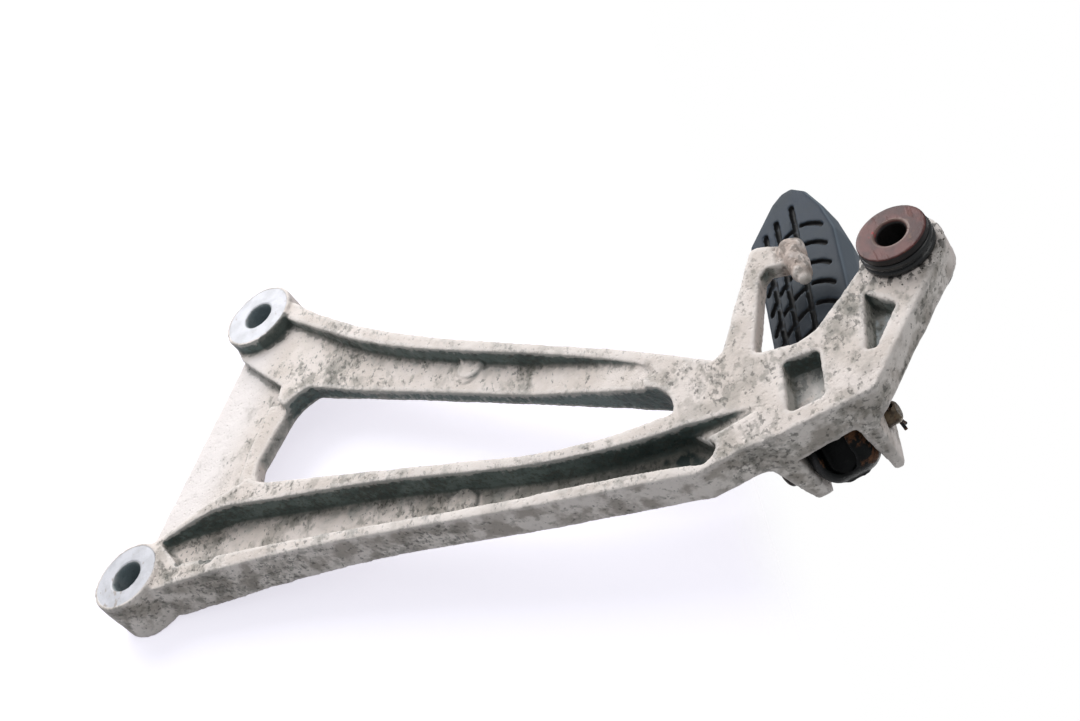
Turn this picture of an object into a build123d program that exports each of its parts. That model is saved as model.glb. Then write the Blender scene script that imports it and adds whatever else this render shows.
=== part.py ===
"""Motorcycle footrest hanger: a cast plate with a folding footpeg and an exhaust eye.

X runs rearward, Y outboard and Z up. The origin is the lower frame bolt's axis at the face of its boss.
"""
import os
from math import radians, tan

from build123d import *

os.makedirs("parts", exist_ok=True)

# Frame bolts: the upper one lies above and behind the lower one
upper_bolt_x = 52.3
upper_bolt_z = 99.8
frame_hole_d = 10.8
lower_boss_r = 13.2
upper_boss_r = 14.1
hole_chamfer = 0.7
lower_boss_back = 17.5
upper_boss_back = 15.0

# Depths of the casting, outboard of the boss faces
face = 1.0
back = 13.0
lower_arm_back = 17.0
web = 7.5
web_at_boss = 4.8
panel = 9.3
channel_floor = 9.8
channel_start = 2.6
channel_ramp_start = 8.0
channel_ramp_end = 32.0
hook_back = 6.5

# Where the two arms run into the rear block
upper_arm_end = (212.0, -40.0)
lower_arm_end = (205.0, -66.0)
block_bottom = -79.3

# Exhaust eye, its rubber grommet and the steel collar inside it
eye_x = 272.7
eye_z = -35.5
eye_boss_r = 12.4
eye_face = 0.5
eye_back = 11.0
eye_bore_r = 8.2
grommet_gap = 0.1
grommet_lip_r = 10.7
grommet_lip = 2.0
grommet_groove_r = 9.7
grommet_rear_lip = 2.2
grommet_round = 0.7
sleeve_r = 5.5
sleeve_bore_r = 4.125
collar_r = 10.3
collar_thickness = 2.4
collar_proud = 6.5
sleeve_chamfer = 0.9

# Footpeg pivot: the pin's middle, and how far the peg is swept back unfolded and leans back folded
pin_x = 235.3
pin_y = 21.2
pin_z = -70.5
sweep_deg = 7.7
lean_deg = 5.9
pin_r = 3.3
pin_fit = 0.05
clevis_gap = 18.0
clevis_floor = 9.0
clevis_floor_thickness = 2.5
knuckle_side_gap = 0.3
knuckle_r = 10.8
knuckle_relief = 0.5
knuckle_round = 5.5
heel_flat = 8.8
heel_corner = 7.6
heel_width = 7.0
cavity_width = 8.8
cavity_wall = 2.2
front_ear_foot = 10.1
front_ear_end = 4.6
front_ear_reach = 9.5
rear_ear_foot = 8.0
rear_ear_end = 3.2
rear_ear_reach = 12.0
ear_top = 10.5
ear_bottom = 8.6
front_seat = 15.6
seat_margin = 0.6
head_r = 5.4
head_thickness = 2.6
head_chamfer = 0.6
pin_end = 18.4
pin_end_chamfer = 0.9
split_x = 16.6
split_wire_r = 0.5
split_gap = 0.3
split_leg = 7.2

# Footpeg bar and its rubber, measured along the folded peg from the pin
bar_width = 15.0
bar_inboard = -1.0
bar_outboard = 12.0
bar_shoulder = 1.0
neck_inboard = 3.0
neck_root = 3.5
bar_tip_chamfer = 4.0
rubber_start = 28.0
peg_tip = 102.7
bar_tip_gap = 13.0
rubber_inboard = -6.0
rubber_widest = 3.5
rubber_outboard = 17.0
rubber_front = -14.2
rubber_rear = 15.4
inboard_taper_deg = 2.0
outboard_taper_deg = 10.0
rubber_edge_r = 1.5
rubber_back_r = 1.2
groove_width = 1.6
cross_groove_width = 1.3
groove_depth = 1.4
groove_pitch = 8.8
groove_rows = 7
first_row = 83.1

# Ball that holds the peg folded or unfolded
ball_r = 2.0
ball_bore_gap = 0.1
ball_height = 7.4
ball_bore_depth = 13.0
ball_proud = 0.25
dimple_depth = 0.5
spring_wire_r = 0.3
spring_turns = 6

# Cast details
pocket_depth = 6.5
stub_y = 2.2
hook_height = 68.6
hook_arm_depth = 14.0
stub_below_top = 6.4
stub_r = 4.3
stub_length = 15.8
stub_taper_deg = 4.5
stub_nib_r = 2.0
stub_nib = 3.2
block_chamfer = 3.0
panel_round = 3.2
corner_round = 2.5
pocket_corner = 1.8
eye_relief = 3.0
mark_r = 5.6
mark_height = 0.7


def at_depth(depth):
    """The plane this far outboard of the boss faces; its x runs rearward and its y up."""
    return Plane.XZ.offset(-depth)


def along(start, end, share, offset):
    """The point a share of the way from start to end, moved square to that line; plus is upwards."""
    line = Vector(end[0] - start[0], end[1] - start[1])
    square = line.normalized().rotate(Axis.Z, 90)
    point = Vector(start[0], start[1]) + line * share + square * offset
    return (point.X, point.Y)


def on_upper(share, offset):
    """A point along the upper arm, from the upper boss to the rear block."""
    return along((upper_bolt_x, upper_bolt_z), upper_arm_end, share, offset)


def on_lower(share, offset):
    """A point along the lower arm, from the lower boss to the rear block."""
    return along((0, 0), lower_arm_end, share, offset)


def on_panel(share, offset):
    """A point along the line from the lower boss to the upper one."""
    return along((0, 0), (upper_bolt_x, upper_bolt_z), share, offset)


def from_pin(x, z):
    """A point of the rear block, placed from the footpeg pin."""
    return (pin_x + x, pin_z + z)


# Upper arm: its outer edge carries a rim, and its web is open to the triangle
upper_edge = [
    on_upper(share, offset)
    for share, offset in ((0.06, 8.5), (0.153, 4.0), (0.294, 0.3), (0.609, 0.0), (1.0, 0.8))
]
with BuildPart() as upper_arm:
    with BuildSketch(at_depth(face)):
        with BuildLine():
            Spline(*upper_edge)
            Polyline(
                upper_edge[-1],
                on_upper(0.995, -16.0),
                on_upper(0.80, -18.0),
                on_upper(0.50, -24.0),
                on_upper(0.20, -34.0),
                on_panel(0.66, -26.0),
                on_panel(0.715, -24.5),
                on_panel(0.779, -11.3),
                on_panel(0.854, 3.7),
                on_panel(0.92, 10.5),
                upper_edge[0],
            )
        make_face()
    extrude(amount=face - back)

rim_edge = [
    on_upper(share, offset)
    for share, offset in ((0.05, 1.5), (0.16, -1.9), (0.294, -5.4), (0.62, -4.0), (0.90, -3.2))
]
with BuildPart() as upper_recess:
    with BuildSketch(at_depth(0)):
        with BuildLine():
            Spline(*rim_edge)
            Polyline(
                rim_edge[-1],
                on_upper(0.98, -14.0),
                on_upper(0.60, -40.0),
                on_panel(0.40, 20.0),
                on_panel(1.0, 30.0),
                rim_edge[0],
            )
        make_face()
    extrude(amount=-back)
    # the floor is shallow beside the boss and climbs back to the face where the arm meets the block
    ramp_start = on_upper(0.62, 0)[0]
    ramp_end = on_upper(0.93, 0)[0]
    with BuildSketch(Plane.XY):
        Polygon(
            (-lower_boss_r, -face),
            (-lower_boss_r, web_at_boss),
            (on_upper(0.04, 0)[0], web_at_boss),
            (on_upper(0.24, 0)[0], web),
            (ramp_start, web),
            (ramp_end, face),
            (ramp_end, -face),
            align=None,
        )
    extrude(amount=2 * upper_bolt_z, both=True, mode=Mode.INTERSECT)

# Lower arm: a channel between two ribs, thicker towards the lower boss
triangle_foot = [on_lower(0.232, 27.3), on_lower(0.714, 9.9)]
arm_under = [
    on_lower(share, offset)
    for share, offset in ((0.995, -13.0), (0.925, -12.2), (0.745, -10.6), (0.40, -6.0), (0.072, -7.8))
]
with BuildPart() as lower_arm:
    with BuildSketch(at_depth(face)):
        with BuildLine():
            Polyline(
                arm_under[-1],
                on_lower(-0.02, -6.0),
                on_lower(-0.02, 8.0),
                on_lower(0.02, 12.0),
                on_lower(0.10, 22.0),
                on_lower(0.20, 32.0),
                on_lower(0.75, 20.0),
                on_lower(1.0, 14.0),
                arm_under[0],
            )
            Spline(*arm_under)
        make_face()
    extrude(amount=face - lower_arm_back)
    slope_start = on_lower(0.12, 0)[0]
    slope_end = on_lower(0.48, 0)[0]
    with BuildSketch(Plane.XY):
        Polygon(
            (slope_start, lower_boss_back),
            (slope_end, back),
            (lower_arm_end[0] + lower_boss_r, back),
            (lower_arm_end[0] + lower_boss_r, 2 * lower_boss_back),
            (slope_start, 2 * lower_boss_back),
            align=None,
        )
    extrude(amount=upper_bolt_z, both=True, mode=Mode.SUBTRACT)

channel_top = [
    on_lower(0.045, 11.8),
    on_lower(0.09, 16.7),
    on_lower(0.14, 20.4),
    on_lower(0.21, 19.8),
    on_lower(0.464, 14.2),
    on_lower(0.721, 5.6),
    on_lower(0.85, 4.0),
    on_lower(0.966, 5.3),
]
channel_low = [
    on_lower(share, offset)
    for share, offset in ((0.985, -9.4), (0.918, -7.8), (0.738, -6.2), (0.40, -1.6), (0.10, 0.6))
]
with BuildPart() as channel:
    with BuildSketch(at_depth(0)):
        with BuildLine():
            Spline(*channel_top)
            Line(channel_top[-1], on_lower(1.012, -3.0))
            ThreePointArc(on_lower(1.012, -3.0), on_lower(1.008, -8.6), channel_low[0])
            Spline(*channel_low)
            Line(channel_low[-1], channel_top[0])
        make_face()
    extrude(amount=-back)
    with BuildSketch(Plane.XY):
        Polygon(
            (0, -face),
            (0, channel_start),
            (channel_ramp_start, channel_start),
            (channel_ramp_end, channel_floor),
            (lower_arm_end[0] + lower_boss_r, channel_floor),
            (lower_arm_end[0] + lower_boss_r, -face),
            align=None,
        )
    extrude(amount=upper_bolt_z, both=True, mode=Mode.INTERSECT)

# Panel between the bosses, set back from the face and rolled off along its front edge
with BuildPart() as panel_plate:
    with BuildSketch(at_depth(panel)):
        Polygon(
            on_panel(0.02, 9.0),
            on_panel(0.95, 9.0),
            on_panel(0.95, -10.0),
            on_panel(0.66, -34.0),
            on_panel(0.20, -40.0),
            on_panel(0.0, -8.0),
            align=None,
        )
    extrude(amount=panel - back)
    fillet(panel_plate.edges().group_by(Axis.Y)[0].sort_by(SortBy.LENGTH)[-1], radius=panel_round)
with BuildPart() as panel_rib:
    with BuildSketch(at_depth(web)):
        Polygon(
            on_panel(0.66, -20.0),
            on_panel(0.66, -36.0),
            on_panel(0.16, -40.0),
            on_panel(0.18, -26.0),
            on_panel(0.48, -20.5),
            align=None,
        )
    extrude(amount=web - back)

# Opening between the arms and the panel
with BuildPart() as triangle:
    with BuildSketch(at_depth(-face)):
        with BuildLine():
            ThreePointArc(on_upper(0.212, -23.6), on_upper(0.569, -16.6), on_upper(0.935, -10.6))
            ThreePointArc(on_upper(0.935, -10.6), on_upper(0.972, -14.6), on_lower(0.945, 11.6))
            Spline(on_lower(0.945, 11.6), on_lower(0.82, 8.7), triangle_foot[1])
            Line(triangle_foot[1], triangle_foot[0])
            ThreePointArc(triangle_foot[0], on_panel(0.352, -33.5), on_panel(0.436, -28.2))
            Line(on_panel(0.436, -28.2), on_panel(0.60, -30.4))
            ThreePointArc(on_panel(0.60, -30.4), on_panel(0.662, -33.0), on_upper(0.212, -23.6))
        make_face()
    extrude(amount=-2 * lower_boss_back)

# Rear block: carries the eye, the hook arm and the clevis
with BuildPart() as block:
    with BuildSketch(at_depth(face)):
        with BuildLine():
            Polyline(
                on_upper(0.90, -8.0),
                on_upper(1.0, 0.8),
                from_pin(-19.0, 32.5),
                from_pin(-8.6, 24.5),
                from_pin(1.5, 21.5),
                from_pin(7.6, 22.4),
                (eye_x - eye_boss_r, eye_z + 1.5),
                (eye_x, eye_z),
                (eye_x + eye_boss_r * 0.78, eye_z - eye_boss_r * 0.626),
                from_pin(17.2, block_bottom - pin_z + 0.5),
                from_pin(15.0, block_bottom - pin_z),
                from_pin(-11.0, block_bottom - pin_z + 0.4),
                from_pin(-22.0, block_bottom - pin_z + 1.9),
                on_lower(0.995, -13.0),
                on_lower(0.93, 0.0),
                close=True,
            )
        make_face()
    extrude(amount=face - back)
    fillet(block.edges().filter_by(Axis.Y).group_by(Axis.Z)[0], radius=corner_round)
    chamfer(block.edges().group_by(Axis.Y)[-1].sort_by(Axis.X)[-2:], length=block_chamfer)

with BuildPart() as blind_pockets:
    with BuildSketch(at_depth(0)):
        Polygon(
            from_pin(-4.1, 16.6),
            from_pin(6.8, 14.8),
            from_pin(4.0, -2.5),
            from_pin(-6.9, -2.1),
            align=None,
        )
        fillet(vertices(), radius=pocket_corner)
        Polygon(
            from_pin(23.6, 26.7),
            from_pin(30.5, 17.1),
            from_pin(21.4, 5.2),
            from_pin(18.6, 6.1),
            align=None,
        )
    extrude(amount=-pocket_depth - face)

# Fading step that runs on from the channel's upper wall
with BuildPart() as fading_step:
    with BuildSketch(at_depth(0)):
        Polygon(
            on_lower(0.955, 5.4),
            on_lower(1.078, 5.8),
            on_lower(1.07, 4.4),
            on_lower(1.0, -1.0),
            on_lower(0.955, -1.0),
            align=None,
        )
    extrude(amount=-back)
    with BuildSketch(Plane.XY):
        Polygon(
            (on_lower(0.95, 0)[0], -face),
            (on_lower(0.95, 0)[0], face + pocket_depth - 1),
            (on_lower(1.085, 0)[0], face),
            (on_lower(1.085, 0)[0], -face),
            align=None,
        )
    extrude(amount=upper_bolt_z, both=True, mode=Mode.INTERSECT)

# Hook arm: up from the block, across and down to a stub
hook_under = hook_height - hook_arm_depth
with BuildPart() as hook:
    with BuildSketch(at_depth(face)):
        Polygon(
            from_pin(-24.0, 26.0),
            from_pin(-19.4, 32.5),
            from_pin(-2.2, hook_height),
            from_pin(8.2, hook_under + 6.4),
            from_pin(8.2, hook_under - 1.6),
            from_pin(0.2, hook_under + 1.8),
            from_pin(-2.2, hook_under),
            from_pin(-9.7, 29.5),
            from_pin(-11.4, 23.0),
            from_pin(-16.0, 20.0),
            align=None,
        )
    extrude(amount=face - hook_back)
    fillet(hook.edges().filter_by(Axis.Y).group_by(Axis.Z)[-1], radius=corner_round)
stub_z = pin_z + hook_height - stub_below_top
stub_top = Plane(origin=(pin_x + 8.8, stub_y, stub_z), x_dir=(1, 0, 0), z_dir=(0.05, 0, -1))
with BuildPart() as hook_stub:
    with BuildSketch(stub_top):
        Circle(stub_r)
    extrude(amount=stub_length, taper=stub_taper_deg)
    fillet(hook_stub.edges().group_by(Axis.Z)[-1], radius=0.55 * stub_r)
    fillet(hook_stub.edges().group_by(Axis.Z)[0], radius=0.2 * stub_r)
    with BuildSketch(stub_top.offset(stub_length - 0.8)):
        Circle(stub_nib_r)
    extrude(amount=stub_nib)

# Clevis frame: x along the pin to the rear, y up along the folded peg, z inboard
pin_axis = Vector(1, -tan(radians(sweep_deg)), -tan(radians(lean_deg)))
clevis = Plane(origin=(pin_x, pin_y, pin_z), x_dir=pin_axis, z_dir=pin_axis.cross(Vector(0, 0, 1)))


def across_pin(distance):
    """The plane square to the pin, this far rearward of its middle; x is inboard, y up the folded peg."""
    return Plane(origin=clevis.from_local_coords((distance, 0, 0)), x_dir=clevis.z_dir, z_dir=-clevis.x_dir)


def in_clevis(x, y, z):
    """A point in the row's frame from one in the clevis frame."""
    return clevis.from_local_coords(Vector(x, y, z))


half_gap = clevis_gap / 2
ear_root = clevis_floor + clevis_floor_thickness
with BuildPart() as ears:
    for side, foot, end, reach in (
        (-1, front_ear_foot, front_ear_end, front_ear_reach),
        (1, rear_ear_foot, rear_ear_end, rear_ear_reach),
    ):
        # the foot is wide and the end thin, with the inner face square to the pin
        with BuildSketch(clevis.offset(ear_root)):
            Polygon(
                (side * half_gap, -ear_bottom),
                (side * (half_gap + foot - 2.0), -ear_bottom),
                (side * (half_gap + foot), -3.0),
                (side * (half_gap + foot), ear_top),
                (side * half_gap, ear_top),
                align=None,
            )
        with BuildSketch(clevis.offset(-reach)):
            Polygon(
                (side * half_gap, 0.6 - ear_bottom),
                (side * (half_gap + end - 0.3), 0.6 - ear_bottom),
                (side * (half_gap + end), -3.0),
                (side * (half_gap + end), ear_top - 2.0),
                (side * half_gap, ear_top - 2.0),
                align=None,
            )
        loft(ruled=True)
    along_pin = Axis(in_clevis(0, 0, 0), clevis.x_dir)
    fillet(ears.edges().filter_by(along_pin).group_by(Axis.Y)[-1], radius=corner_round)
    # slot floor between the ears, square to them
    with BuildSketch(clevis.offset(clevis_floor)):
        with Locations((0, (ear_top - ear_bottom) / 2)):
            Rectangle(clevis_gap + rear_ear_end, ear_top + ear_bottom)
    extrude(amount=clevis_floor_thickness)

# Eye boss
with BuildPart() as eye_boss:
    with BuildSketch(at_depth(eye_face)):
        with Locations((eye_x, eye_z)):
            Circle(eye_boss_r)
    extrude(amount=eye_face - eye_back)

# The whole casting
with BuildPart() as hanger_casting:
    add(upper_arm.part)
    add(upper_recess.part, mode=Mode.SUBTRACT)
    add(panel_plate.part)
    add(panel_rib.part)
    add(lower_arm.part)
    add(block.part)
    # the block is thinner around the eye
    with BuildSketch(at_depth(eye_back)):
        with Locations((eye_x, eye_z)):
            Circle(eye_boss_r + eye_relief)
    extrude(amount=-back, mode=Mode.SUBTRACT)
    add(triangle.part, mode=Mode.SUBTRACT)
    add(channel.part, mode=Mode.SUBTRACT)
    add(blind_pockets.part, mode=Mode.SUBTRACT)
    add(fading_step.part, mode=Mode.SUBTRACT)
    add(hook.part)
    add(hook_stub.part)
    add(eye_boss.part)
    # raised discs left by the mould
    with BuildSketch(at_depth(web - mark_height)):
        with Locations(on_upper(0.532, -8.0)):
            Circle(mark_r)
    extrude(amount=-2 * mark_height)
    with BuildSketch(at_depth(channel_floor - mark_height / 2)):
        with Locations(on_lower(0.59, 4.2)):
            Circle(mark_r)
    extrude(amount=-2 * mark_height)
    # clear the slot between the ears before its floor and the ears are added
    with BuildSketch(clevis.offset(clevis_floor)):
        Rectangle(clevis_gap, 4 * ear_bottom)
    extrude(amount=-2 * clevis_floor, mode=Mode.SUBTRACT)
    add(ears.part)
    with BuildSketch(at_depth(0)):
        Circle(lower_boss_r)
    extrude(amount=-lower_boss_back)
    with BuildSketch(at_depth(0)):
        with Locations((upper_bolt_x, upper_bolt_z)):
            Circle(upper_boss_r)
    extrude(amount=-upper_boss_back)
    with BuildSketch(at_depth(0)):
        with Locations((0, 0), (upper_bolt_x, upper_bolt_z)):
            Circle(frame_hole_d / 2)
    extrude(amount=-2 * lower_boss_back, mode=Mode.SUBTRACT)
    with BuildSketch(at_depth(0)):
        with Locations((eye_x, eye_z)):
            Circle(eye_bore_r)
    extrude(amount=-2 * back, mode=Mode.SUBTRACT)
    rims = hanger_casting.edges().filter_by(GeomType.CIRCLE).filter_by_position(Axis.Y, -0.01, 0.01)
    chamfer(rims.sort_by(SortBy.RADIUS)[:2], length=hole_chamfer)
    # room behind the block for the knuckle to turn
    with BuildSketch(across_pin(-half_gap)):
        Circle(knuckle_r + knuckle_relief)
    extrude(amount=-clevis_gap, mode=Mode.SUBTRACT)
    with BuildSketch(across_pin(-2 * clevis_gap)):
        Circle(pin_r + pin_fit)
    extrude(amount=-4 * clevis_gap, mode=Mode.SUBTRACT)
    # flat seat for the pin's head
    with BuildSketch(across_pin(-front_seat)):
        Circle(head_r + seat_margin)
    extrude(amount=clevis_gap, mode=Mode.SUBTRACT)
    # hollows in the front ear for the ball, folded and unfolded
    dimple_r = ball_r + ball_bore_gap
    dimple_x = dimple_r - half_gap - dimple_depth
    with Locations(in_clevis(dimple_x, ball_height, 0), in_clevis(dimple_x, 0, -ball_height)):
        Sphere(dimple_r, mode=Mode.SUBTRACT)
hanger_casting.part.label = "hanger_casting"
export_step(hanger_casting.part, "parts/hanger_casting.step")

# Grommet and collar, turned about the eye's axis; their sections run outwards in x and outboard in y
eye_section = Plane(origin=(eye_x, 0, eye_z))
eye_axis = Axis((eye_x, 0, eye_z), (0, 1, 0))
collar_back = collar_thickness - collar_proud
grommet_end = eye_back + grommet_rear_lip
with BuildPart() as exhaust_grommet:
    with BuildSketch(eye_section) as grommet_section:
        Polygon(
            (sleeve_r + grommet_gap, collar_back),
            (grommet_lip_r, collar_back),
            (grommet_lip_r, collar_back + grommet_lip),
            (grommet_groove_r, collar_back + grommet_lip),
            (grommet_groove_r, eye_face - grommet_lip),
            (grommet_lip_r, eye_face - grommet_lip),
            (grommet_lip_r, eye_face),
            (eye_bore_r - grommet_gap, eye_face),
            (eye_bore_r - grommet_gap, eye_back),
            (grommet_lip_r, eye_back),
            (grommet_lip_r, grommet_end),
            (sleeve_r + grommet_gap, grommet_end),
            align=None,
        )
        fillet(grommet_section.vertices().group_by(Axis.X)[-1], radius=grommet_round)
    revolve(axis=eye_axis)
exhaust_grommet.part.label = "exhaust_grommet"
export_step(exhaust_grommet.part, "parts/exhaust_grommet.step")

with BuildPart() as exhaust_collar:
    with BuildSketch(eye_section) as collar_section:
        Polygon(
            (sleeve_bore_r, -collar_proud + sleeve_chamfer),
            (sleeve_bore_r + sleeve_chamfer, -collar_proud),
            (collar_r, -collar_proud),
            (collar_r, collar_back),
            (sleeve_r, collar_back),
            (sleeve_r, grommet_end),
            (sleeve_bore_r, grommet_end),
            align=None,
        )
        fillet(collar_section.vertices().group_by(Axis.X)[-1], radius=grommet_round / 2)
    revolve(axis=eye_axis)
exhaust_collar.part.label = "exhaust_collar"
export_step(exhaust_collar.part, "parts/exhaust_collar.step")

# Footpeg bar: the knuckle turns on the pin and its tongue fills the rubber
knuckle_width = clevis_gap - 2 * knuckle_side_gap
tongue_plane = Plane(origin=in_clevis(0, rubber_start, 0), x_dir=clevis.x_dir, z_dir=clevis.y_dir)
with BuildPart() as tongue:
    with BuildSketch(tongue_plane):
        with Locations((0, (bar_inboard + bar_outboard) / 2)):
            Rectangle(bar_width, bar_outboard - bar_inboard)
    extrude(amount=peg_tip - bar_tip_gap - rubber_start)
    across_tip = Axis(in_clevis(0, 0, 0), clevis.z_dir)
    chamfer(tongue.edges().filter_by(across_tip).group_by(Axis.Z)[-1], length=bar_tip_chamfer)

cavity_floor = pin_r + cavity_wall
half_turn = 0.5**0.5
cavity_plane = Plane(
    origin=in_clevis(0, -cavity_floor * half_turn, cavity_floor * half_turn),
    x_dir=clevis.x_dir,
    z_dir=clevis.z_dir - clevis.y_dir,
)
with BuildPart() as peg_bar:
    with BuildSketch(across_pin(-knuckle_width / 2)):
        Circle(knuckle_r)
    extrude(amount=-knuckle_width)
    fillet(peg_bar.edges().filter_by(GeomType.CIRCLE), radius=knuckle_round)
    # the heel stops against the slot's floor when the peg is unfolded
    with BuildSketch(across_pin(-heel_width / 2)):
        Polygon((0, -heel_flat), (-heel_corner, -heel_flat), (-heel_corner, 0), (0, 0), align=None)
    extrude(amount=-heel_width)
    # neck up to the shoulder that the rubber sits on
    with BuildSketch(across_pin(-knuckle_width / 2)):
        Polygon(
            (neck_inboard, neck_root),
            (neck_inboard, rubber_start),
            (-bar_outboard - bar_shoulder, rubber_start),
            (-bar_outboard - bar_shoulder, knuckle_r + 2.0),
            (-heel_corner, neck_root),
            align=None,
        )
    extrude(amount=-knuckle_width)
    add(tongue.part)
    with BuildSketch(across_pin(-clevis_gap)):
        Circle(pin_r + pin_fit)
    extrude(amount=-2 * clevis_gap, mode=Mode.SUBTRACT)
    # round-ended hollow underneath, facing down and inboard
    with BuildSketch(cavity_plane):
        SlotCenterPoint((0, 0), (0, cavity_width / 2), cavity_width, rotation=0)
    extrude(amount=clevis_gap, mode=Mode.SUBTRACT)
    with BuildSketch(across_pin(-knuckle_width / 2)):
        with Locations((0, ball_height)):
            Circle(ball_r + ball_bore_gap)
    extrude(amount=-ball_bore_depth, mode=Mode.SUBTRACT)
peg_bar.part.label = "peg_bar"
export_step(peg_bar.part, "parts/peg_bar.step")

# Peg rubber: widest a little outboard of the pin, with a patterned tread on its inboard side
with BuildSketch(clevis.offset(-rubber_widest)) as rubber_outline:
    Polygon(
        (rubber_front + 1.8, 0.8 * rubber_start),
        (rubber_front + 1.5, 2.1 * rubber_start),
        (rubber_front, peg_tip - 16.0),
        (rubber_front + 9.9, peg_tip - 2.8),
        (rubber_front + 14.0, peg_tip),
        (rubber_rear - 11.6, peg_tip),
        (rubber_rear - 7.2, peg_tip - 4.6),
        (rubber_rear - 2.8, peg_tip - 15.0),
        (rubber_rear, peg_tip - 28.0),
        (rubber_rear, 1.9 * rubber_start),
        (rubber_rear - 0.8, 0.8 * rubber_start),
        align=None,
    )
with BuildPart() as peg_rubber:
    extrude(rubber_outline.sketch, amount=rubber_widest - rubber_inboard, taper=inboard_taper_deg)
    extrude(rubber_outline.sketch, amount=rubber_widest - rubber_outboard, taper=outboard_taper_deg)
    inboard = Axis(in_clevis(0, 0, 0), clevis.z_dir)
    fillet(peg_rubber.faces().sort_by(inboard)[-1].edges(), radius=rubber_edge_r)
    fillet(peg_rubber.faces().sort_by(inboard)[0].edges(), radius=rubber_back_r)
    # square lower end, seated on the bar's shoulder
    with BuildSketch(tongue_plane):
        Rectangle(6 * bar_width, 6 * bar_width)
    extrude(amount=-rubber_start, mode=Mode.SUBTRACT)
    add(tongue.part, mode=Mode.SUBTRACT)
    with BuildSketch(clevis.offset(-rubber_inboard)):
        for x, end in ((2.4, peg_tip - 9.5), (-3.5, peg_tip - 12.4), (-7.8, peg_tip - 15.7)):
            SlotCenterPoint((x, end / 2), (x, end), groove_width)
        for row in range(groove_rows):
            y = first_row - row * groove_pitch
            with BuildLine():
                ThreePointArc((-10.4, y - 12.9), (-3.5, y - 3.2), (2.4, y))
            trace(line_width=cross_groove_width)
            with BuildLine():
                ThreePointArc((4.3, y), (7.7, y - 1.4), (11.1, y - 4.6))
            trace(line_width=cross_groove_width)
            with Locations((-10.4, y - 12.9), (4.3, y), (11.1, y - 4.6)):
                Circle(cross_groove_width / 2)
    extrude(amount=-groove_depth, mode=Mode.SUBTRACT)
peg_rubber.part.label = "peg_rubber"
export_step(peg_rubber.part, "parts/peg_rubber.step")

# Pivot pin with its head at the front ear, held by a split pin behind the rear ear
split_hole_r = 2 * split_wire_r + split_gap
with BuildPart() as pivot_pin:
    with BuildSketch(across_pin(-front_seat)):
        Circle(head_r)
    extrude(amount=head_thickness)
    chamfer(pivot_pin.edges().filter_by(GeomType.CIRCLE).sort_by(Axis.X)[0], length=head_chamfer)
    with BuildSketch(across_pin(-front_seat)):
        Circle(pin_r)
    extrude(amount=-front_seat - pin_end)
    chamfer(pivot_pin.edges().filter_by(GeomType.CIRCLE).sort_by(Axis.X)[-1], length=pin_end_chamfer)
    with BuildSketch(Plane(origin=in_clevis(split_x, 0, 0), x_dir=clevis.x_dir, z_dir=clevis.z_dir)):
        Circle(split_hole_r)
    extrude(amount=clevis_gap, both=True, mode=Mode.SUBTRACT)
pivot_pin.part.label = "pivot_pin"
export_step(pivot_pin.part, "parts/pivot_pin.step")

leg_y = 1.1 * split_wire_r
with BuildPart() as split_pin:
    with BuildLine(across_pin(split_x)) as split_path:
        Spline(
            (-split_leg, 2.6 * leg_y),
            (-pin_r - 1.0, 1.2 * leg_y),
            (-pin_r + 1, leg_y),
            (pin_r - 0.6, leg_y),
            (pin_r + 1.0, 1.7 * leg_y),
            (pin_r + 1.9, 0),
            (pin_r + 1.0, -1.7 * leg_y),
            (pin_r - 0.6, -leg_y),
            (-pin_r + 1, -leg_y),
            (-pin_r - 1.0, -1.2 * leg_y),
            (0.6 - split_leg, -2.6 * leg_y),
        )
    with BuildSketch(Plane(origin=split_path.line @ 0, z_dir=split_path.line % 0)):
        Circle(split_wire_r)
    sweep(path=split_path.line)
split_pin.part.label = "split_pin"
export_step(split_pin.part, "parts/split_pin.step")

# Ball and spring in the knuckle's front side
ball_x = ball_r - knuckle_width / 2 - ball_proud
with BuildPart() as detent_ball:
    with Locations(in_clevis(ball_x, ball_height, 0)):
        Sphere(ball_r)
detent_ball.part.label = "detent_ball"
export_step(detent_ball.part, "parts/detent_ball.step")

coil_r = ball_r - spring_wire_r
coil_start = ball_x + 0.8 * ball_r
coil_end = ball_bore_depth - knuckle_width / 2 - spring_wire_r - ball_bore_gap
with BuildPart() as detent_spring:
    with BuildLine() as coil:
        Helix(
            pitch=(coil_end - coil_start) / spring_turns,
            height=coil_end - coil_start,
            radius=coil_r,
            center=in_clevis(coil_start, ball_height, 0),
            direction=clevis.x_dir,
        )
    with BuildSketch(Plane(origin=coil.line @ 0, z_dir=coil.line % 0)):
        Circle(spring_wire_r)
    sweep(path=coil.line, is_frenet=True)
detent_spring.part.label = "detent_spring"
export_step(detent_spring.part, "parts/detent_spring.step")
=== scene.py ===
"""Looks of a motorcycle footrest hanger: its finishes, the sheet it lies on, the lamps and the camera."""
from math import pi

import bmesh
import bpy
import numpy as np
from mathutils import Matrix, Vector, noise
from mathutils.bvhtree import BVHTree


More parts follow.
